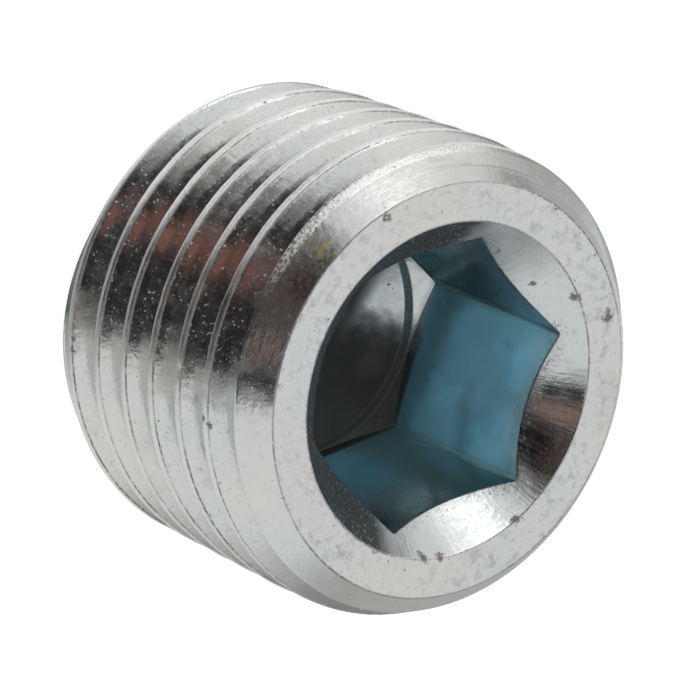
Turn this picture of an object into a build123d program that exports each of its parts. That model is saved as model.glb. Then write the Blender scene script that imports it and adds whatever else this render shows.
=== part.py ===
import math
import os

from build123d import *

# Body, from the small end (z = 0) to the socket face (z = plug_length).
# Chamfer angles are measured from the axis.
plug_length = 9.6
face_diameter = 11.5
face_chamfer_angle = 45.0
small_end_chamfer_length = 0.9
small_end_chamfer_angle = 30.0

# Taper pipe thread, right hand, 19 turns to the inch, taper 1 in 16 on the diameter
thread_pitch = 25.4 / 19
thread_taper = 1 / 16
gauge_diameter = 13.157
gauge_from_small_end = 4.7
flank_angle = 55.0
crest_flat = 0.22 * thread_pitch
root_flat = 0.11 * thread_pitch
thread_start_angle = 9.0

# The turn next to the face is left a little low and reaches full height over this length
low_turn_drop = 0.14
low_turn_length = 1.3

# Plain collar behind the face chamfer, where the last groove of the thread runs out
collar_diameter = 12.16
collar_start = 8.98

# Socket for a hexagon key, punched over a drilled hole. Depths are measured from the socket face.
key_size = 7.0
key_clearance = 0.18
socket_corner_round = 0.18
socket_depth_at_corners = 6.2
ledge_angle = 120.0
ledge_edge_round = 0.06
hole_diameter = 7.0
hole_depth_at_wall = 6.95
hole_cone_angle = 118.0
hole_flat_diameter = 3.2
hole_edge_round = 0.12
countersink_diameter = 9.3
countersink_angle = 92.0

half_taper = math.degrees(math.atan(thread_taper / 2))
half_flank = math.radians(flank_angle / 2)
thread_depth = (thread_pitch - crest_flat - root_flat) / (2 * math.tan(half_flank))


def crest_radius(height):
    return gauge_diameter / 2 + (height - gauge_from_small_end) * thread_taper / 2


# Turned blank: crest cone, low turn, a chamfer at each end, and the two flat end faces
face_radius = face_diameter / 2
face_chamfer_slope = math.tan(math.radians(face_chamfer_angle))
face_chamfer_drop = crest_radius(plug_length) - low_turn_drop - face_radius
face_chamfer_length = face_chamfer_drop / (face_chamfer_slope + thread_taper / 2)
shoulder = plug_length - face_chamfer_length
small_end_chamfer_drop = small_end_chamfer_length * math.tan(math.radians(small_end_chamfer_angle))

with BuildPart() as plug_body:
    with BuildSketch(Plane.XZ):
        with BuildLine():
            Polyline(
                (0, 0),
                (crest_radius(small_end_chamfer_length) - small_end_chamfer_drop, 0),
                (crest_radius(small_end_chamfer_length), small_end_chamfer_length),
                (crest_radius(shoulder - low_turn_length), shoulder - low_turn_length),
                (crest_radius(shoulder) - low_turn_drop, shoulder),
                (face_radius, plug_length),
                (0, plug_length),
                close=True,
            )
        make_face()
    revolve(axis=Axis.Z)

# Thread groove: a truncated vee swept up a cone, one turn of the helix at a time.
# The lead along the cone's side is a little more than the pitch along the axis.
lead_on_cone = thread_pitch / math.cos(math.radians(half_taper))
turns = math.ceil(plug_length / thread_pitch) + 3
groove_start = -1.5 * thread_pitch
crest_overrun = crest_flat / 4 / math.tan(half_flank)
groove_depth = thread_depth + crest_overrun
root_start = crest_radius(groove_start) - thread_depth
groove_mouth = root_flat + 2 * groove_depth * math.tan(half_flank)

with BuildPart() as thread_groove:
    with BuildLine() as helix:
        for turn in range(turns):
            height = groove_start + turn * thread_pitch
            Helix(
                pitch=lead_on_cone,
                height=lead_on_cone,
                radius=crest_radius(height) - thread_depth,
                center=(0, 0, height),
                cone_angle=half_taper,
            )
    with BuildSketch(Plane.XZ):
        with BuildLine():
            Polyline(
                (root_start, groove_start - root_flat / 2),
                (root_start, groove_start + root_flat / 2),
                (root_start + groove_depth, groove_start + groove_mouth / 2),
                (root_start + groove_depth, groove_start - groove_mouth / 2),
                close=True,
            )
        make_face()
    sweep(path=helix.wire(), is_frenet=True)

# The groove stops at the collar, which starts as a 45 degree cone
collar_radius = collar_diameter / 2
with BuildPart() as collar:
    with BuildSketch(Plane.XZ):
        with BuildLine():
            Polyline(
                (0, collar_start - collar_radius),
                (collar_radius, collar_start),
                (collar_radius, plug_length + thread_pitch),
                (0, plug_length + thread_pitch),
                close=True,
            )
        make_face()
    revolve(axis=Axis.Z)
with thread_groove:
    add(collar.part, mode=Mode.SUBTRACT)

# Space of the socket: a hexagonal prism that ends in sloping corner ledges, the drilled hole
# below them with its shallow cone and flat, and the countersink
across_flats = key_size + key_clearance
across_corners = across_flats / math.cos(math.radians(30))
corner_floor = plug_length - socket_depth_at_corners
ledge_drop = (across_corners - hole_diameter) / 2 / math.tan(math.radians(ledge_angle / 2))
hole_floor_edge = plug_length - hole_depth_at_wall
hole_cone_drop = (hole_diameter - hole_flat_diameter) / 2 / math.tan(math.radians(hole_cone_angle / 2))
hole_flat_height = hole_floor_edge - hole_cone_drop
countersink_depth = (countersink_diameter - across_flats) / 2 / math.tan(math.radians(countersink_angle / 2))

with BuildPart() as socket_space:
    with BuildSketch(Plane.XY.offset(hole_flat_height)):
        RegularPolygon(radius=across_flats / 2, side_count=6, major_radius=False)
        fillet(vertices(), radius=socket_corner_round)
    extrude(amount=plug_length - hole_flat_height)
    with BuildSketch(Plane.XZ):
        with BuildLine():
            Polyline(
                (0, hole_flat_height),
                (hole_flat_diameter / 2, hole_flat_height),
                (hole_diameter / 2, hole_floor_edge),
                (hole_diameter / 2, corner_floor - ledge_drop),
                (across_corners / 2, corner_floor),
                (across_corners / 2, plug_length),
                (0, plug_length),
                close=True,
            )
        make_face()
    revolve(axis=Axis.Z, mode=Mode.INTERSECT)
    cones = socket_space.faces().filter_by(GeomType.CONE).sort_by(Axis.Z)
    fillet(cones.last.outer_wire().edges().filter_by(GeomType.LINE, reverse=True), radius=ledge_edge_round)
    cones = socket_space.faces().filter_by(GeomType.CONE).sort_by(Axis.Z)
    fillet(cones.first.edges().filter_by(GeomType.CIRCLE).sort_by(Axis.Z).last, radius=hole_edge_round)

with BuildPart() as countersink:
    with BuildSketch(Plane.XZ):
        with BuildLine():
            Polyline(
                (0, plug_length - countersink_depth),
                (across_flats / 2, plug_length - countersink_depth),
                (countersink_diameter / 2, plug_length),
                (0, plug_length),
                close=True,
            )
        make_face()
    revolve(axis=Axis.Z)

with plug_body:
    add(thread_groove.part.rotate(Axis.Z, thread_start_angle), mode=Mode.SUBTRACT)
    add(socket_space.part, mode=Mode.SUBTRACT)
    add(countersink.part, mode=Mode.SUBTRACT)

plug_body.part.label = "plug_body"
os.makedirs("parts", exist_ok=True)
export_step(plug_body.part, "parts/plug_body.step")
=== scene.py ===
import math

import bpy
import numpy as np
from mathutils import Matrix, Vector, noise


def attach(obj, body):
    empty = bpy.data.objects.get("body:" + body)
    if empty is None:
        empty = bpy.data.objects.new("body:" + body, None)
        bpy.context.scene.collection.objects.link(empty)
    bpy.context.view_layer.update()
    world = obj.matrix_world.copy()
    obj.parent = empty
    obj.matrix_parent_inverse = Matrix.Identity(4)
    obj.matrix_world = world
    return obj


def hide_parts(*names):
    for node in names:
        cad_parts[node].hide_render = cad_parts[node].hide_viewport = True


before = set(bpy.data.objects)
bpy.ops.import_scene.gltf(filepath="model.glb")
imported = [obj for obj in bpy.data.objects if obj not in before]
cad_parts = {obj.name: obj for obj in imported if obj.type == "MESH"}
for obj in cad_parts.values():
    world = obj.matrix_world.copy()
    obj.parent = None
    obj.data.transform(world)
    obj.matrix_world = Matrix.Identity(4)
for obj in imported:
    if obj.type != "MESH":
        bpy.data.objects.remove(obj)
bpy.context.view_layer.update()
print("frame loaded")

# Lengths in millimetres and angles in degrees. z runs from the small end to the socket face.
plug = {
    "length": 9.6,
    "faceRadius": 5.75,
    "faceChamferAngle": 45.0,
    "smallChamferLength": 0.9,
    "smallChamferAngle": 30.0,
    "pitch": 25.4 / 19,
    "taper": 1 / 16,             # on the diameter
    "gaugeRadius": 13.157 / 2,
    "gaugeHeight": 4.7,
    "flankAngle": 27.5,
    "crestFlat": 0.16,           # flats as shares of the pitch
    "rootFlat": 0.17,
    "threadStart": 9.0,
    "lowTurnDrop": 0.14,         # the turn next to the face is this much lower
    "lowTurnLength": 1.3,
    "collarRadius": 6.08,
    "collarStart": 8.98,
    "faintGroove": 0.12,         # how much shallower the last groove is where it crosses the chamfer
    "faintAngles": (190, 204, 234, 244),
    "socketWidth": 7.18,
    "socketCornerRound": 0.18,
    "socketDepth": 6.2,
    "ledgeAngle": 60.0,
    "holeRadius": 3.54,
    "holeDepth": 6.95,
    "holeConeAngle": 59.0,
    "holeFlatRadius": 1.6,
    "holeFlatDrop": 0.01,
    "countersinkRadius": 4.65,
    "countersinkAngle": 45.2,
    "edgeRound": 0.05,           # radii and widths of the rounded edges
    "crestRound": 0.12,
    "rootRound": 0.12,
    "collarRound": 0.03,
    "rimRound": 0.07,
    "sinkRound": 0.06,
    "floorRound": 0.06,
    "holeRound": 0.12,
    "columns": 440,              # columns of points round the plug
    "crestWear": 0.03,
    "waviness": 0.004,
}

pitch = plug["pitch"]
length = plug["length"]
flankSlope = 1 / math.tan(math.radians(plug["flankAngle"]))
threadDepth = pitch * (1 - plug["crestFlat"] - plug["rootFlat"]) / 2 * flankSlope
faceSlope = math.tan(math.radians(plug["faceChamferAngle"]))


def crestRadius(z):
    return plug["gaugeRadius"] + (z - plug["gaugeHeight"]) * plug["taper"] / 2


def softMin(a, b, width):
    # the smaller of the two, rounded over where they are within width of each other
    overlap = np.maximum(width - np.abs(a - b), 0) / width
    return np.minimum(a, b) - overlap * overlap * width / 4


def softMax(a, b, width):
    return -softMin(-a, -b, width)


faceDrop = crestRadius(length) - plug["lowTurnDrop"] - plug["faceRadius"]
shoulder = length - faceDrop / (faceSlope + plug["taper"] / 2)


def blankRadius(z):
    # outside of the plug before its thread is cut
    run = np.clip((z - shoulder + plug["lowTurnLength"]) / plug["lowTurnLength"], 0, 1)
    body = crestRadius(z) - plug["lowTurnDrop"] * run
    face = plug["faceRadius"] + (length - z) * faceSlope
    small = crestRadius(plug["smallChamferLength"]) - (plug["smallChamferLength"] - z) * math.tan(
        math.radians(plug["smallChamferAngle"]))
    return softMin(softMin(body, face, plug["edgeRound"]), small, plug["edgeRound"])


def collarRadius(z):
    return plug["collarRadius"] + np.minimum(z - plug["collarStart"], 0)


def grooveRadius(z, angle):
    turn = (z / pitch - (angle - plug["threadStart"]) / 360) % 1
    away = np.abs(turn - 0.5) * pitch
    root = crestRadius(z) - threadDepth
    flank = root + (away - plug["rootFlat"] * pitch / 2) * flankSlope
    return softMax(softMax(root, flank, plug["rootRound"]), collarRadius(z), plug["collarRound"])


def outerRadius(z, angle):
    rounding = np.interp(z, (8.95, 9.1), (plug["crestRound"], plug["edgeRound"]))
    faint = np.interp(angle, plug["faintAngles"], (0, plug["faintGroove"], plug["faintGroove"], 0))
    faint = faint * np.interp(z, (9.02, 9.12), (0, 1))
    return softMin(blankRadius(z), grooveRadius(z, angle) + faint, rounding)


# Columns round the plug, closer together at the six socket corners
cornerOffsets = (-1.6, -1.265, -0.95, -0.63, -0.32, 0, 0.32, 0.63, 0.95, 1.265, 1.6)
cornerSpace = 1.9
step = 360 / plug["columns"]
angles = [a * step for a in range(plug["columns"]) if abs((a * step + 30) % 60 - 30) > cornerSpace]
angles += [corner + offset for corner in range(0, 360, 60) for offset in cornerOffsets]
angles = np.array(sorted(a % 360 for a in angles))
cosines, sines = np.cos(np.radians(angles)), np.sin(np.radians(angles))
count = len(angles)

# Heights along one pitch where the thread is sampled, measured from the root
threadSamples = (-0.5, -0.47, -0.445, -0.42, -0.395, -0.36, -0.22, -0.11, -0.055, 0.055, 0.11, 0.22, 0.36, 0.39,
                 0.415, 0.44, 0.47)
edgeOffsets = (0, -0.028, 0.028)     # rows at an edge and just beside it
edgeGap, threadGap = 0.013, 0.016    # least distance between rows
lowEnd = 0.03
rimRound = plug["rimRound"]
rimTangent = rimRound * math.tan(math.radians(plug["faceChamferAngle"] / 2))
highEnd = length - rimTangent * math.sin(math.radians(plug["faceChamferAngle"]))

points, triangles = [], []


def addPoints(x, y, z):
    first = sum(len(p) for p in points)
    points.append(np.stack([x, y, z], axis=1))
    return first


def addRing(radius, z):
    radius = np.broadcast_to(radius, count)
    return addPoints(radius * cosines, radius * sines, np.broadcast_to(z, count).astype(float))


def joinRings(lower, upper):
    for j in range(count):
        k = (j + 1) % count
        triangles.append((lower + j, lower + k, upper + k))
        triangles.append((lower + j, upper + k, upper + j))


def runRings(last, rings, inward=True):
    # adds a run of rings, each given as its radius and height, on to the ring before them
    for radius, height in rings:
        ring = addRing(radius, height)
        joinRings(*((last, ring) if inward else (ring, last)))
        last = ring
    return last


def closeRing(ring, height, inward=True):
    centre = addPoints(np.zeros(1), np.zeros(1), np.full(1, height))
    for j in range(count):
        k = (j + 1) % count
        triangles.append((ring + j, ring + k, centre) if inward else (ring + k, ring + j, centre))


def roundPoints(radius, turns):
    # steps along a rounding: distance gone sideways and down at each turn, in degrees
    return [(radius * math.sin(math.radians(turned)), radius * (1 - math.cos(math.radians(turned))))
            for turned in turns]


# Outside: every column has its own heights, and neighbouring columns are zipped together
fine = np.linspace(lowEnd, highEnd, 2400)
columnHeights = []
for angle in angles:
    difference = blankRadius(fine) - grooveRadius(fine, angle)
    crossing = fine[:-1][difference[:-1] * difference[1:] < 0]
    crossing = crossing[(crossing < 1.0) | (crossing > shoulder - 0.1)]
    ring = collarRadius(fine) - grooveRadius(fine, angle)
    foot = fine[:-1][(ring[:-1] < -0.012) & (ring[1:] >= -0.012) & (fine[:-1] > 8.5)]
    special = [lowEnd, highEnd]
    for middle in (*crossing, *foot, plug["smallChamferLength"], shoulder):
        for offset in edgeOffsets:
            height = middle + offset
            if lowEnd < height < highEnd and min(abs(height - s) for s in special) > edgeGap:
                special.append(height)
    turnNumbers = np.arange(-1, math.ceil(length / pitch) + 2)
    heights = ((turnNumbers[:, None] + 0.5 + np.array(threadSamples)) * pitch
               + (angle - plug["threadStart"]) / 360 * pitch).ravel()
    heights = [h for h in heights if lowEnd < h < highEnd and min(abs(h - s) for s in special) > threadGap]
    columnHeights.append(np.array(sorted(special + heights)))

columnStarts = []
for angle, heights, c, s in zip(angles, columnHeights, cosines, sines):
    radius = outerRadius(heights, angle)
    columnStarts.append(addPoints(radius * c, radius * s, heights))
outsideCount = sum(len(p) for p in points)

for j in range(count):
    k = (j + 1) % count
    lead = ((angles[k] - angles[j]) % 360) / 360 * pitch
    a, b = columnHeights[j], columnHeights[k] - lead
    m, n = 0, 0
    while m < len(a) - 1 or n < len(b) - 1:
        stepA = abs(a[m + 1] - b[n]) if m < len(a) - 1 else 1e9
        stepB = abs(b[n + 1] - a[m]) if n < len(b) - 1 else 1e9
        if stepA <= stepB:
            triangles.append((columnStarts[j] + m, columnStarts[k] + n, columnStarts[j] + m + 1))
            m += 1
        else:
            triangles.append((columnStarts[j] + m, columnStarts[k] + n, columnStarts[k] + n + 1))
            n += 1


def joinEnds(ends, ring, upwards):
    for j in range(count):
        k = (j + 1) % count
        quad = (ends[j], ends[k], ring + k, ring + j)
        if not upwards:
            quad = quad[::-1]
        triangles.append((quad[0], quad[1], quad[2]))
        triangles.append((quad[0], quad[2], quad[3]))


# Rim between the face chamfer and the face, the flat face, and the edge of the countersink
rimCentre = plug["faceRadius"] - rimTangent
rim = [(rimCentre + sideways, length - down) for sideways, down in roundPoints(rimRound, (32, 16, 0))]
last = addRing(*rim[0])
joinEnds([start + len(h) - 1 for start, h in zip(columnStarts, columnHeights)], last, True)
last = runRings(last, rim[1:])

sinkRound = plug["sinkRound"]
sinkTurn = 90 - plug["countersinkAngle"]
faceInner = plug["countersinkRadius"] + sinkRound * math.tan(math.radians(sinkTurn / 2))
last = runRings(last, [(rimCentre + (faceInner - rimCentre) * share, length) for share in (0.2, 0.4, 0.6, 0.8, 1.0)])
sinkEdge = [(faceInner - sideways, length - down)
            for sideways, down in roundPoints(sinkRound, (sinkTurn * 0.33, sinkTurn * 0.67, sinkTurn))]
last = runRings(last, sinkEdge)
sinkTop = sinkEdge[-1][0]

# Hexagon outline with rounded corners, and the countersink down to it
cornerAway = (angles + 30) % 60 - 30
flatAway = (angles % 60) - 30
hexRadius = plug["socketWidth"] / 2 / np.cos(np.radians(flatAway))
cornerRadius = plug["socketWidth"] / 2 / math.cos(math.radians(30))
cornerCentre = cornerRadius - plug["socketCornerRound"] / math.cos(math.radians(30))
inCorner = np.abs(cornerAway) < 1.27
arc = cornerCentre * np.cos(np.radians(cornerAway)) + np.sqrt(np.maximum(
    plug["socketCornerRound"] ** 2 - (cornerCentre * np.sin(np.radians(cornerAway))) ** 2, 0))
hexRadius = np.where(inCorner, np.minimum(arc, hexRadius), hexRadius)


def sinkHeight(radius):
    return length - (plug["countersinkRadius"] - radius) / math.tan(math.radians(plug["countersinkAngle"]))


sinkBottom = hexRadius + 0.03
sinkRadii = [sinkTop + (sinkBottom - sinkTop) * share for share in (0.14, 0.28, 0.42, 0.56, 0.70, 0.85, 1.0)]
last = runRings(last, [(radius, sinkHeight(radius)) for radius in sinkRadii])

# Socket walls, with a slight round where the countersink meets them, and the ledge at their foot
wallTop = sinkHeight(hexRadius) - 0.035
ledgeRise = 1 / math.tan(math.radians(plug["ledgeAngle"]))
cornerFloor = length - plug["socketDepth"]


def ledgeHeight(radius):
    return cornerFloor - (cornerRadius - radius) * ledgeRise


floorRound = plug["floorRound"]
ledgeTurn = 90 - math.degrees(math.atan(ledgeRise))
wallBottom = ledgeHeight(hexRadius) + floorRound * math.tan(math.radians(ledgeTurn / 2))
last = runRings(last, [(hexRadius + 0.006, sinkHeight(hexRadius) - 0.004)])
last = runRings(last, [(hexRadius, wallTop + (wallBottom - wallTop) * share)
                       for share in (0, 0.1, 0.2, 0.32, 0.44, 0.56, 0.68, 0.8, 0.9, 1.0)])
wallFoot = [(hexRadius - sideways, wallBottom - down)
            for down, sideways in roundPoints(floorRound, (ledgeTurn * 0.33, ledgeTurn * 0.67, ledgeTurn))]
last = runRings(last, wallFoot)
ledgeEdge = plug["holeRadius"] + 0.025
ledgeTop = wallFoot[-1][0]
ledgeRadii = [ledgeTop + (ledgeEdge - ledgeTop) * share for share in (0.35, 0.7, 1.0)]
last = runRings(last, [(radius, ledgeHeight(radius)) for radius in ledgeRadii])

# Drilled hole, its shallow cone and its flat
holeRadius = plug["holeRadius"]
holeTop = ledgeHeight(ledgeEdge)
holeFloor = length - plug["holeDepth"]
coneRise = 1 / math.tan(math.radians(plug["holeConeAngle"]))
holeRound = plug["holeRound"]
holeProfile = [(holeRadius + 0.006, holeTop - 0.008), (holeRadius, holeTop - 0.03)]
holeProfile += [(holeRadius, holeTop - 0.03 + (holeFloor + holeRound - holeTop + 0.03) * share)
                for share in (0.33, 0.67, 1.0)]
holeTurns = [turned for turned in (15, 30, 45, 60, 75) if turned < 90 - math.degrees(math.atan(coneRise))]
holeProfile += [(holeRadius - sideways, holeFloor + holeRound - down)
                for down, sideways in roundPoints(holeRound, holeTurns)]
coneTop, coneHeight = holeProfile[-1]
for share in (0.1, 0.22, 0.36, 0.52, 0.7, 0.88, 1.0):
    radius = coneTop + (plug["holeFlatRadius"] - coneTop) * share
    holeProfile.append((radius, coneHeight - (coneTop - radius) * coneRise))
holeEnd = holeProfile[-1][1] - plug["holeFlatDrop"]
holeProfile += [(plug["holeFlatRadius"] - 0.06, holeEnd), (plug["holeFlatRadius"] * 0.6, holeEnd),
                (plug["holeFlatRadius"] * 0.3, holeEnd)]
closeRing(runRings(last, holeProfile), holeEnd)

# Small end face
lowRadius = outerRadius(np.full(count, lowEnd), angles)
last = addRing(lowRadius - 0.010, 0.008)
joinEnds(columnStarts, last, False)
endRadius = lowRadius - 0.03
last = runRings(last, [(endRadius * share, 0.0) for share in (1.0, 0.94, 0.82, 0.66, 0.5, 0.34, 0.18)], inward=False)
closeRing(last, 0.0, inward=False)

places = np.concatenate(points)
print("plug mesh:", len(places), "points,", len(triangles), "triangles")


# Slight waviness of the metal and wear on the crests, always into the steel
def roughWave(place, size, seed):
    return noise.noise(Vector(place) / size + Vector((seed, seed * 0.37, -seed)))


fromAxis = np.hypot(places[:, 0], places[:, 1])
for i in range(outsideCount):
    place = places[i]
    wave = (roughWave(place, 0.9, 3.1) + 0.5 * roughWave(place, 0.35, 7.7) - 0.8) * plug["waviness"]
    wear = max(0.0, roughWave(place, 0.5, 11.3) - 0.15)
    onCrest = max(0.0, 1 - (crestRadius(place[2]) - fromAxis[i]) / 0.12)
    pull = (wave - wear * plug["crestWear"] * onCrest) / fromAxis[i]
    places[i, :2] += place[:2] * pull

mesh = bpy.data.meshes.new("plugMesh")
mesh.from_pydata([tuple(p) for p in places * 0.001], [], triangles)
mesh.shade_smooth()
triangles = np.array(triangles)
corners = places[triangles]
faceNormals = np.cross(corners[:, 1] - corners[:, 0], corners[:, 2] - corners[:, 0])
faceNormals *= np.linalg.norm(faceNormals, axis=1)[:, None]
normals = np.zeros_like(places)
for corner in range(3):
    np.add.at(normals, triangles[:, corner], faceNormals)
normals /= np.maximum(np.linalg.norm(normals, axis=1), 1e-12)[:, None]
mesh.normals_split_custom_set_from_vertices(normals.tolist())
plugObject = bpy.data.objects.new("plug_steel", mesh)
bpy.context.scene.collection.objects.link(plugObject)
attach(plugObject, "root")
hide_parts("plug_body")
print("plug built")

zinc = {
    "cool": (0.645, 0.665, 0.675),
    "warm": (0.675, 0.665, 0.63),
    "tintSize": 2.2,             # mm across one tinted patch
    "frost": (0.74, 0.76, 0.77),
    "dirt": (0.11, 0.10, 0.09),
    # near-white: frost on all crests, and a painted highlight on the crests of one side
    "crestFrostAndHighlight": (0.97, 0.98, 0.98),
    "sinkTint": (0.60, 0.635, 0.645),
    "sinkShade": (0.022, 0.030, 0.031),
    "socketTint": (0.45, 0.58, 0.59),
    "blueWall": (0.24, 0.62, 0.85),
    # paler blue, painted as a reflection on the walls
    "bluePaleReflection": (0.32, 0.75, 0.98),
    "wallFilm": 0.5,             # share of the blue film that scatters light instead of mirroring it
    "ledgeShade": (0.20, 0.32, 0.28),
    "ledgeTint": (0.58, 0.61, 0.61),
    "holeTint": (0.58, 0.63, 0.64),
    # colours of the darkened hole, its paler patches and its wall
    "holeDark": (0.034, 0.031, 0.030),
    "holePatch": (0.085, 0.072, 0.067),
    "holeWallTone": (0.15, 0.14, 0.135),
    "clot": (0.17, 0.15, 0.13),
    # pale yellow, painted as glints near the chamfer
    "glintYellow": (0.80, 0.74, 0.46),
    # Places on the plug, each x, y, z and radius in mm
    # Painted paler and darker reflections on the socket walls
    "paleBlueReflection": ((1.6, 3.59, 5.0, 1.5), (1.5, 3.59, 7.9, 1.4), (-1.0, 3.59, 8.1, 1.5), (3.2, 1.6, 4.0, 1.5)),
    "dullBlueReflection": ((0.75, 3.59, 5.95, 0.75), (-1.7, 3.59, 4.4, 0.9)),
    # Painted shade on the countersink and the chamfer
    "shadedSinkPlaces": ((1.0, 3.8, 8.85, 0.95),),
    "shadedChamferPlaces": ((-2.7, -5.15, 9.40, 0.7), (-1.9, -5.5, 9.42, 0.7)),
    "clots": (
        (-2.84, 4.57, 9.60, 0.26), (-4.16, -3.74, 9.60, 0.19), (4.52, 0.79, 9.58, 0.20), (4.42, 1.35, 9.58, 0.18),
        (3.06, 3.51, 9.60, 0.20), (-3.15, 3.34, 9.55, 0.22), (-3.20, 2.27, 8.94, 0.16), (-3.84, 0.82, 8.94, 0.14),
        (2.64, -5.82, 3.24, 0.13), (2.49, -5.98, 5.98, 0.20), (2.84, -5.82, 6.04, 0.16), (2.25, -6.13, 7.61, 0.20),
        (2.43, -6.07, 7.85, 0.14), (4.24, -4.90, 6.08, 0.13), (3.75, -5.34, 7.60, 0.13), (4.65, -4.59, 7.68, 0.16),
        (4.97, -4.24, 7.65, 0.16)),
    # painted yellow glints near the chamfer
    "yellowGlintPlaces": ((-2.75, -5.42, 9.27, 0.13), (-2.90, -5.31, 9.29, 0.14), (-3.03, -5.22, 9.31, 0.14),
                   (-3.17, -5.12, 9.33, 0.12)),
    "crestHighlightSide": (-0.79, -0.61),  # the side where the crests and the chamfer edge get a painted highlight, as x and y
    "roughness": 0.13,
    "patchRoughness": 0.14,      # added where the plating is cloudy
    "edgeRoughness": 0.22,       # added on the worn crests
    "spotRoughness": 0.40,
    "waveHeight": 0.0045,        # heights of the surface texture, mm
    "grainHeight": 0.0036,
    "streakHeight": 0.0020,
    "chatterHeight": 0.0036,
    "burrHeight": 0.006,
    "wearHeight": 0.008,
    "spotHeight": 0.006,
}


def startNodes(owner):
    # new nodes go into this material's or world's tree from here on
    global tree
    owner.use_nodes = True
    tree = owner.node_tree
    tree.nodes.clear()


def addNode(kind, inputs=None, **options):
    made = tree.nodes.new(kind)
    for name, value in options.items():
        setattr(made, name, value)
    for key, value in (inputs or {}).items():
        if isinstance(value, bpy.types.NodeSocket):
            tree.links.new(value, made.inputs[key])
        else:
            made.inputs[key].default_value = value
    return made


def calc(operation, *values):
    return addNode("ShaderNodeMath", dict(enumerate(values)), operation=operation).outputs[0]


def vector(operation, *values):
    made = addNode("ShaderNodeVectorMath", dict(enumerate(values)), operation=operation)
    return made.outputs["Value" if operation in ("DISTANCE", "DOT_PRODUCT", "LENGTH") else "Vector"]


def chain(operation, values):
    total = values[0]
    for value in values[1:]:
        total = calc(operation, total, value)
    return total


def times(*values):
    return chain("MULTIPLY", values)


def plus(*values):
    return chain("ADD", values)


def most(*values):
    return chain("MAXIMUM", values)


def without(value):
    return calc("SUBTRACT", 1.0, value)


def rise(value, start, end, low=0.0, high=1.0):
    # smooth step of value from start to end; start may be the larger
    if start > end:
        start, end, low, high = end, start, high, low
    return addNode("ShaderNodeMapRange", {
        "Value": value, "From Min": start, "From Max": end, "To Min": low, "To Max": high},
        interpolation_type="SMOOTHSTEP").outputs["Result"]


def bandAround(value, middle, half, soft):
    return rise(calc("ABSOLUTE", calc("SUBTRACT", value, middle)), half + soft, half)


def paint(amount, under, over):
    return addNode("ShaderNodeMix", {0: amount, 6: under, 7: over}, data_type="RGBA").outputs[2]


def grain(size, detail=2.0, place=None, rough=0.5):
    # noise with features about size millimetres across
    return addNode("ShaderNodeTexNoise", {
        "Vector": place if place is not None else mm, "Scale": 0.6 / size, "Detail": detail,
        "Roughness": rough}).outputs["Fac"]


def jogged(amount, scale, detail, rough=0.5):
    # places on the plug, pushed about by up to half the amount, in mm
    push = addNode("ShaderNodeTexNoise", {
        "Vector": mm, "Scale": scale, "Detail": detail, "Roughness": rough}).outputs["Color"]
    return vector("SUBTRACT", vector("MULTIPLY_ADD", push, (amount,) * 3, mm), (amount / 2,) * 3)


def spots(size, share, radius, seed):
    # round spots in a share of the cells of a grid of the given size
    cells = addNode("ShaderNodeTexVoronoi", {
        "Vector": vector("ADD", mm, (seed, seed * 1.7, -seed)), "Scale": 1 / size, "Randomness": 1.0})
    chosen = calc("LESS_THAN", addNode("ShaderNodeSeparateXYZ", {0: cells.outputs["Color"]}).outputs[0], share)
    return times(rise(cells.outputs["Distance"], radius / size, radius / size * 0.5), chosen)


def near(places, about=None):
    # soft round areas about places given as (x, y, z, radius)
    about = about or mm
    return most(*(rise(vector("DISTANCE", about, place[:3]), place[3], place[3] * 0.3) for place in places))


def rgb(name):
    return (*zinc[name], 1)


zincPlate = bpy.data.materials.new("zincPlate")
startNodes(zincPlate)

# Places on the plug: millimetres, distance from the axis, turns round it, and phase of the thread
coordinates = addNode("ShaderNodeTexCoord").outputs["Object"]
mm = addNode("ShaderNodeVectorMath", {0: coordinates, "Scale": 1000.0}, operation="SCALE").outputs[0]
x, y, z = addNode("ShaderNodeSeparateXYZ", {0: mm}).outputs
across = calc("SQRT", plus(times(x, x), times(y, y)))
turns = times(calc("ARCTAN2", y, x), 1 / math.tau)
onCrestPhase = plug["threadStart"] / 360 + 0.5
phase = calc("FRACT", plus(times(z, 1 / pitch), times(turns, -1.0), onCrestPhase))   # 0.5 on the crest
halfWidth = plug["socketWidth"] / 2
lowerSide = plus(times(x, 0.866), times(y, 0.5))     # distances towards the walls on both sides of the blue one
upperSide = plus(times(x, -0.866), times(y, 0.5))
rimLine = length + plug["faceRadius"]                # on the chamfer, z and the distance from the axis add up to this

# Regions
sinkSlope = 1 / math.tan(math.radians(plug["countersinkAngle"]))
below = calc("SUBTRACT", plus(times(across, sinkSlope), length - plug["countersinkRadius"] * sinkSlope), z)
inner = times(rise(across, 4.45, 4.35), rise(z, 0.5, 0.9))
inSocket = times(inner, rise(below, 0.03, 0.07))
inHole = times(inner, rise(z, cornerFloor - 0.1, cornerFloor - 0.2),
               rise(across, plug["holeRadius"] + 0.05, plug["holeRadius"] + 0.02))
inSink = times(rise(across, plug["countersinkRadius"] + 0.01, plug["countersinkRadius"] - 0.03), rise(z, 7.8, 8.0),
               without(inSocket))
onFace = rise(z, length - 0.02, length - 0.004)
onChamfer = times(rise(plus(z, across), rimLine - 0.09, rimLine - 0.04), without(onFace))
onSide = times(rise(across, 5.2, 5.3), without(onFace), without(onChamfer))
crestWorn = times(bandAround(phase, 0.512, 0.062, 0.03), onSide)

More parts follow.
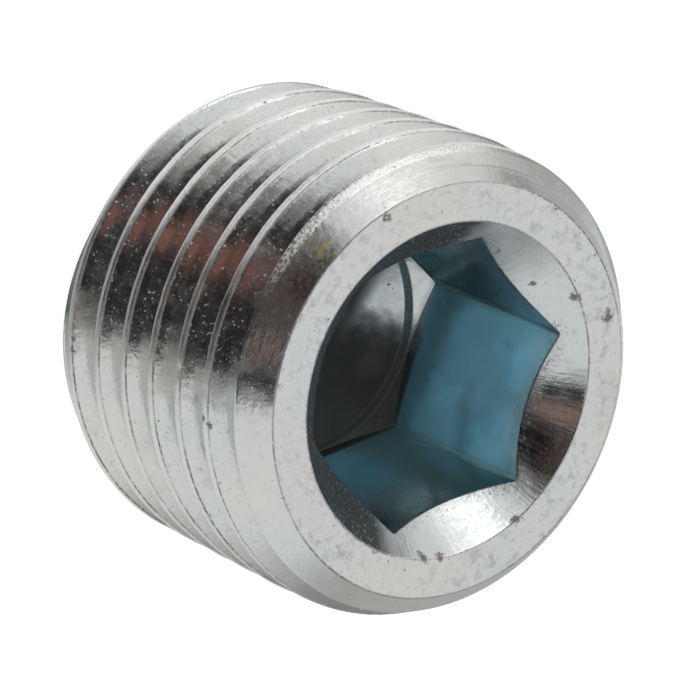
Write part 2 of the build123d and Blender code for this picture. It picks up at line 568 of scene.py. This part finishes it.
# Patches and specks
cloud = grain(zinc["tintSize"], 2)
mottle = grain(0.30, 3, rough=0.6)
haze = rise(grain(1.0, 4, rough=0.6), 0.52, 0.66)
patchy = grain(0.13, 2, rough=0.6)
along = grain(1.3, 2)
crumbs = grain(0.055, 2, rough=0.7)
paleSpots = times(rise(plus(crumbs, times(onSide, 0.022)), 0.65, 0.70), rise(mottle, 0.46, 0.58, 0.15, 1.0),
                  without(inner), without(times(onChamfer, 0.6)), without(times(inSink, 0.7)))
darkCrumbs = times(rise(crumbs, 0.33, 0.27), rise(mottle, 0.50, 0.40, 0.1, 1.0), 0.7)
darkSpots = times(without(times(crestWorn, 0.9)), most(spots(0.50, 0.34, 0.036, 5.7), darkCrumbs))
smudges = times(rise(plus(times(mottle, 0.45), times(patchy, 0.55)), 0.47, 0.72), rise(cloud, 0.62, 0.42, 0.5, 1.0))

# Rubbed metal: the crests and the outer edge of the chamfer. On one side of the plug they are also painted near-white
# as a highlight
crestGrain = times(crestWorn, rise(grain(0.038, 3, rough=0.75), 0.34, 0.58, 0.58, 1.0))
highlightX, highlightY = zinc["crestHighlightSide"]
crestHighlightSide = rise(calc("DIVIDE", plus(times(x, highlightX), times(y, highlightY)), across), 0.72, 0.93)
shoulderHighlight = times(rise(across, 6.37, 6.42), bandAround(plus(z, across), rimLine - 0.02, 0.03, 0.03),
                     rise(crumbs, 0.38, 0.58, 0.1, 0.7))
wearAndHighlight = times(crestHighlightSide, most(crestGrain, shoulderHighlight))

# Tool marks of the countersink, which run round it
chatterPlace = addNode("ShaderNodeCombineXYZ", {
    0: calc("DIVIDE", x, across), 1: calc("DIVIDE", y, across), 2: times(across, 0.03)}).outputs[0]
chatterShade = grain(0.03, 2, chatterPlace)
ragged = jogged(0.5, 5.0, 3.0, 0.65)
drifted = jogged(2.2, 0.9, 2.0)

# Dirt along edges
lineDirt = times(rise(along, 0.38, 0.60, 0.3, 0.85), rise(grain(0.09, 2, rough=0.7), 0.36, 0.56, 0.35, 1.0))
blobs = times(rise(patchy, 0.60, 0.66), rise(along, 0.52, 0.62))


def dirtAlong(away, line, patch, lineDepth=1.0, patchDepth=0.9):
    # a fine dirty line and wider patches beside an edge; line and patch are middle, half width and softness
    return most(times(bandAround(away, *line), lineDirt, lineDepth),
                times(bandAround(away, *patch), blobs, patchDepth))


edgeAway = calc("SUBTRACT", phase, 0.5 + plug["crestFlat"] / 2 + 0.014)
edgeDirt = times(onSide, without(times(wearAndHighlight, 0.9)),
                 dirtAlong(edgeAway, (0.0, 0.006, 0.012), (0.004, 0.018, 0.018), patchDepth=0.85))
rimAway = calc("SUBTRACT", across, plug["faceRadius"] - 0.015)
rimDirt = times(rise(z, 9.4, 9.45), dirtAlong(rimAway, (0.0, 0.012, 0.03), (-0.02, 0.06, 0.06)))
sinkAway = calc("SUBTRACT", across, plug["countersinkRadius"] + 0.015)
sinkDirt = times(rise(z, 9.4, 9.5), dirtAlong(sinkAway, (0.0, 0.012, 0.03), (0.05, 0.06, 0.06), lineDepth=0.85))
hexAway = calc("SUBTRACT", most(*(calc("ABSOLUTE", side) for side in (y, lowerSide, upperSide))), halfWidth)
burr = times(inSink, rise(hexAway, 0.34, 0.04))
burrDirt = times(burr, rise(grain(0.07, 2, rough=0.7), 0.56, 0.64), rise(along, 0.35, 0.6, 0.3, 1.0))
clots = times(near(zinc["clots"], ragged), rise(grain(0.06, 2, rough=0.7), 0.36, 0.50, 0.15, 0.9))
dirt = most(edgeDirt, rimDirt, sinkDirt, times(burrDirt, 0.7), times(clots, 0.9), times(darkSpots, 0.65),
            times(smudges, most(times(onFace, 0.36), 0.09)))
# Painted shade: dark patches on the chamfer at listed places
shadedChamfer = times(onChamfer, near(zinc["shadedChamferPlaces"], ragged),
                     rise(grain(0.10, 3, rough=0.65), 0.36, 0.62, 0.1, 0.6))
# Painted shade in a near-black colour: the countersink's -y side, and a streaky patch of it at a listed place
shadedSinkSide = times(inSink, rise(plus(y, times(mottle, 0.6)), 0.4, -0.5), without(times(rise(crumbs, 0.62, 0.67), 0.9)))
shadedSinkStreaks = times(inSink, near(zinc["shadedSinkPlaces"]), rise(chatterShade, 0.35, 0.6, 0.45, 0.95))
# In the hole below the ledge, darkened on its +y side and more towards +x: near-black brown with paler patches, and a
# paler band on the hole's wall
deepDarkening = times(inner, rise(z, cornerFloor + 0.15, cornerFloor - 0.05), rise(y, 0.8, 1.5),
                 most(rise(plus(x, times(mottle, 1.2)), -0.5, 0.7), rise(y, 2.6, 2.1)))
deepPatches = rise(grain(0.8, 3, rough=0.6), 0.50, 0.66)
deepColour = paint(bandAround(across, plug["holeRadius"], 0.012, 0.01),
                   paint(deepPatches, rgb("holeDark"), rgb("holePatch")), rgb("holeWallTone"))

# Blue film on three walls of the socket. Paler and darker patches on it are painted reflections, and wallShade is
# painted shade on parts of the walls
blueWall, lowerWall, upperWall = (rise(side, halfWidth - 0.19, halfWidth - 0.03) for side in (y, lowerSide, upperSide))
paleBlueReflection = near(zinc["paleBlueReflection"], drifted)
film = most(times(blueWall, rise(z, 8.6, 7.4, 0.45, 1.0), plus(0.8, times(paleBlueReflection, 0.6))),
            times(lowerWall, rise(z, 8.8, 4.4), 1.2), times(upperWall, rise(z, 7.0, 8.0), 0.3))
wallTint = paint(film, rgb("socketTint"), paint(paleBlueReflection, rgb("blueWall"), rgb("bluePaleReflection")))
wallShade = most(times(upperWall, rise(z, 7.4, 6.2), 0.7), times(lowerWall, rise(y, 1.7, 2.6), 0.6),
                 times(blueWall, near(zinc["dullBlueReflection"], drifted), 0.4))
wallTint = paint(wallShade, wallTint, rgb("ledgeShade"))

# Colour, laid on from the bare plating outwards
colour = paint(rise(cloud, 0.36, 0.64), rgb("cool"), rgb("warm"))
for amount, over in (
        (rise(mottle, 0.3, 0.7, 0.0, 0.3), rgb("frost")),
        (times(inSink, 0.8), rgb("sinkTint")),
        # painted shade on the countersink and the chamfer
        (most(shadedSinkSide, times(shadedSinkStreaks, 0.85), times(shadedChamfer, 0.9)), rgb("sinkShade")),
        (inSocket, wallTint),
        (times(inner, rise(z, cornerFloor, cornerFloor - 0.06)), rgb("ledgeTint")),
        (inHole, rgb("holeTint")),
        (times(paleSpots, 0.7), rgb("frost")),
        # painted highlight on one side's crests, and frost on all of them
        (most(wearAndHighlight, times(crestGrain, 0.3)), rgb("crestFrostAndHighlight")),
        (times(deepDarkening, 0.94), deepColour),
        (dirt, rgb("dirt")),
        (clots, rgb("clot")),
        # painted yellow glints
        (near(zinc["yellowGlintPlaces"], ragged), rgb("glintYellow"))):
    colour = paint(amount, colour, over)

marks = most(paleSpots, times(dirt, 0.8))
roughness = plus(zinc["roughness"], times(haze, zinc["patchRoughness"]), rise(mottle, 0.35, 0.75, 0.0, 0.07),
                 times(crestGrain, zinc["edgeRoughness"]), times(marks, zinc["spotRoughness"]), times(inHole, 0.12),
                 times(deepDarkening, 0.2), times(burr, 0.10), times(shadedSinkSide, 0.35))
metallic = without(most(times(dirt, 0.9), times(paleSpots, 0.6), times(haze, 0.015), times(deepDarkening, 0.8),
                        times(wearAndHighlight, 0.8), shadedSinkSide, times(film, inSocket, zinc["wallFilm"])))

# Relief, in millimetres
streakPlace = addNode("ShaderNodeCombineXYZ", {
    0: times(x, 0.05), 1: times(y, 0.05), 2: plus(across, times(z, 0.17))}).outputs[0]
height = plus(times(grain(0.75, 1), zinc["waveHeight"]),
              times(grain(0.11, 2), zinc["grainHeight"]),
              times(grain(0.045, 2, streakPlace), most(onSide, onChamfer), zinc["streakHeight"]),
              times(grain(0.012, 1, chatterPlace), inSink, zinc["chatterHeight"]),
              times(grain(0.06, 2, rough=0.7), burr, zinc["burrHeight"]),
              times(grain(0.05, 2, rough=0.7), wearAndHighlight, zinc["wearHeight"]),
              times(darkSpots, -zinc["spotHeight"]),
              times(paleSpots, zinc["spotHeight"] * 0.5))
relief = addNode("ShaderNodeBump", {"Strength": 1.0, "Distance": 0.001, "Height": height}).outputs[0]
shader = addNode("ShaderNodeBsdfPrincipled", {
    "Base Color": colour, "Metallic": metallic, "Roughness": roughness, "Normal": relief, "IOR": 1.6})
addNode("ShaderNodeOutputMaterial", {"Surface": shader.outputs[0]})
plugObject.data.materials.append(zincPlate)
print("finish made")

cameraPlace = {
    "lens": 488.6,
    "location": (-24.63, -160.396, 203.716),     # mm
    "right": (-0.28240, 0.76320, 0.58119),
    "up": (-0.95446, -0.16279, -0.25000),
    "back": (-0.09619, -0.62532, 0.77442),
}
right, up, back = (Vector(cameraPlace[k]) for k in ("right", "up", "back"))
cameraData = bpy.data.cameras.new("camera")
cameraData.lens = cameraPlace["lens"]
cameraData.clip_start, cameraData.clip_end = 0.01, 10
camera = bpy.data.objects.new("camera", cameraData)
camera.matrix_world = Matrix.Translation(Vector(cameraPlace["location"]) * 0.001) @ Matrix(
    (right, up, back)).transposed().to_4x4()
bpy.context.scene.collection.objects.link(camera)
bpy.context.scene.camera = camera

# Each card has its height in metres, its colour, and its outline as it lies in the sky above the plug:
# (sideways, towards the camera) for each unit of height
studio = {
    "roomLight": 0.86,
    "skyShades": ((145, 72, 44, 0.56), (-135, 84, 27, 0.40), (-126, 87, 15, 0.12)),   # azimuth, polar, spread, depth
    "cards": {
        "curtain": (0.60, (0.013, 0.013, 0.014), [
            (0.31, -0.35), (0.31, 0.25), (0.64, 0.90), (0.90, 1.12),
            (-0.62, 1.12), (-0.52, 0.90), (-0.44, 0.20), (-0.40, -0.35)]),
        "curtainEdge": (0.60, (0.21, 0.21, 0.205), [
            (-0.40, -0.35), (-0.44, 0.20), (-0.52, 0.90), (-0.62, 1.12),
            (-1.20, 1.06), (-0.68, 0.90), (-0.64, 0.20), (-0.56, -0.10)]),
        "redCard": (0.55, (0.28, 0.125, 0.09), [(-0.13, 0.14), (-0.235, 0.14), (-0.265, 0.46), (-0.12, 0.46)]),
        "redEdge": (0.56, (0.36, 0.21, 0.16), [(0.36, 0.92), (0.46, 1.14), (0.17, 1.14), (0.16, 0.92)]),
        "warmCard": (0.56, (0.30, 0.185, 0.15), [(0.05, 1.15), (0.05, 1.38), (-0.74, 1.38), (-0.62, 1.15)]),
        "greyCard": (0.56, (0.30, 0.285, 0.28), [(0.58, 1.15), (0.66, 1.38), (0.05, 1.38), (0.05, 1.15)]),
        "tanCard": (0.55, (0.30, 0.26, 0.19), [(-0.66, 1.00), (-0.76, 1.30), (-1.00, 1.30), (-0.90, 1.00)]),
        "softHalo": (0.42, (0.95, 0.95, 0.93), [
            (-0.86, 0.85), (-2.10, 0.75), (-3.10, 0.00), (-2.60, -1.20), (-1.00, -0.60)]),
        "softBox": (0.40, (2.10, 2.10, 2.08), [
            (-1.08, 0.70), (-1.70, 0.62), (-2.35, -0.05), (-1.90, -0.45), (-1.15, -0.30)]),
    },
    "curtainFront": [(0.62, 0.67, 0.6), (0.36, 0.67, -0.05), (-0.62, 0.67, -0.05), (-0.72, 0.67, 0.6)],   # metres
    "curtainFrontColour": (0.045, 0.04, 0.038),
}
towards = Vector((back[0], back[1], 0)).normalized()
sideways = Vector((0, 0, 1)).cross(towards)


def direction(azimuth, polar):
    # azimuth from the camera's line towards sideways, polar from straight up, degrees
    a, p = math.radians(azimuth), math.radians(polar)
    return (sideways * math.sin(a) + towards * math.cos(a)) * math.sin(p) + Vector((0, 0, math.cos(p)))


def glow(colour, strength=1.0):
    return addNode("ShaderNodeEmission", {"Color": (*colour, 1), "Strength": strength}).outputs[0]


def stageCard(name, corners, colour):
    cardMesh = bpy.data.meshes.new(name)
    cardMesh.from_pydata([sideways * s + towards * t + Vector((0, 0, u)) for s, t, u in corners], [],
                         [tuple(range(len(corners)))])
    card = bpy.data.objects.new(name, cardMesh)
    bpy.context.scene.collection.objects.link(card)
    cardPaint = bpy.data.materials.new(name)
    startNodes(cardPaint)
    addNode("ShaderNodeOutputMaterial", {"Surface": glow(colour)})
    cardMesh.materials.append(cardPaint)
    card.visible_camera = False
    card.visible_diffuse = False
    card.visible_shadow = False
    card.visible_transmission = False


for name, (level, colour, outline) in studio["cards"].items():
    stageCard(name, [(s * level, t * level, level) for s, t in outline], colour)
stageCard("curtainFront", studio["curtainFront"], studio["curtainFrontColour"])

world = bpy.data.worlds.new("studioWorld")
bpy.context.scene.world = world
startNodes(world)
lookedAt = addNode("ShaderNodeTexCoord").outputs["Generated"]
skyLevel = studio["roomLight"]
for azimuth, polar, spread, depth in studio["skyShades"]:
    skyShade = rise(vector("DOT_PRODUCT", lookedAt, direction(azimuth, polar)),
                    math.cos(math.radians(spread)), 1.0, 0.0, depth)
    skyLevel = calc("SUBTRACT", skyLevel, skyShade)
roomGlow = addNode("ShaderNodeBackground", {"Color": (1, 1, 1, 1), "Strength": skyLevel})
whiteGlow = addNode("ShaderNodeBackground", {"Color": (1, 1, 1, 1), "Strength": 1.0})
mixGlow = addNode("ShaderNodeMixShader", {
    0: addNode("ShaderNodeLightPath").outputs["Is Camera Ray"], 1: roomGlow.outputs[0], 2: whiteGlow.outputs[0]})
addNode("ShaderNodeOutputWorld", {"Surface": mixGlow.outputs[0]})

# Floor under the small end: pale, nearly white to the camera but for the object's faint shadow.
# To glossy rays it shows painted shades and a red patch instead, which the plug mirrors: paler close by, and dark and
# reddish farther in front.
# Each shade has its azimuth, its outer and inner half width in degrees, and its depth.
floorPlan = {
    "halfSize": 3.0,
    "height": -0.00001,          # just under the small end, so that the two don't coincide
    "paint": (0.8, 0.8, 0.8),
    "cameraGlow": 0.70,
    "mirrorLevel": 0.84,
    "plugEdge": (0.0125, 0.0145),            # distances from the axis in metres, where a shade starts or ends
    "nearShade": (12, 38, 5, 0.50),
    "farShade": (-15, 48, 41, 0.97),
    "farStart": (0.0095, 0.0115),
    "rightShade": (-142, 34, 8, 0.36),
    "rightStart": (0.015, 0.040),
    "underShade": (165, 72, 20, 0.42),
    "behindShades": ((145, 75, 20, 0.20), (145, 37, 31, 0.13)),
    "red": (1.0, 0.43, 0.32),
    "redLevel": 0.27,
    "redPatch": (-17, 9, 4),
}
halfSize = floorPlan["halfSize"]
floorMesh = bpy.data.meshes.new("floor")
floorMesh.from_pydata([(s * halfSize, t * halfSize, floorPlan["height"])
                       for s, t in ((-1, -1), (1, -1), (1, 1), (-1, 1))], [], [(0, 1, 2, 3)])
floor = bpy.data.objects.new("floor", floorMesh)
bpy.context.scene.collection.objects.link(floor)
floorPaint = bpy.data.materials.new("floorPaint")
startNodes(floorPaint)
rays = addNode("ShaderNodeLightPath")
plain = addNode("ShaderNodeBsdfDiffuse", {"Color": (*floorPlan["paint"], 1)})
lifted = addNode("ShaderNodeAddShader", {
    0: plain.outputs[0], 1: glow((1, 1, 1), times(rays.outputs["Is Camera Ray"], floorPlan["cameraGlow"]))})
spot = addNode("ShaderNodeTexCoord").outputs["Object"]
reach = vector("LENGTH", spot)
heading = vector("NORMALIZE", spot)


def facing(azimuth, outer, inner, depth=1.0):
    return rise(vector("DOT_PRODUCT", heading, direction(azimuth, 90)),
                math.cos(math.radians(outer)), math.cos(math.radians(inner)), 0.0, depth)


beyond = rise(reach, *floorPlan["plugEdge"])
mirrorLevel = calc("SUBTRACT", floorPlan["mirrorLevel"], plus(*(facing(*s) for s in floorPlan["behindShades"])))
for shade in (times(facing(*floorPlan["nearShade"]), without(beyond)),
              times(facing(*floorPlan["farShade"]), rise(reach, *floorPlan["farStart"])),
              times(facing(*floorPlan["rightShade"]), rise(reach, *floorPlan["rightStart"])),
              times(facing(*floorPlan["underShade"]), without(beyond))):
    mirrorLevel = times(mirrorLevel, without(shade))
mirrored = addNode("ShaderNodeMixShader", {
    0: times(facing(*floorPlan["redPatch"]), beyond),
    1: glow((1, 1, 1), mirrorLevel), 2: glow(floorPlan["red"], floorPlan["redLevel"])})
total = addNode("ShaderNodeMixShader", {
    0: rays.outputs["Is Glossy Ray"], 1: lifted.outputs[0], 2: mirrored.outputs[0]})
addNode("ShaderNodeOutputMaterial", {"Surface": total.outputs[0]})
floorMesh.materials.append(floorPaint)
print("studio ready")

bpy.context.scene.view_settings.view_transform = "Standard"

bpy.context.view_layer.update()
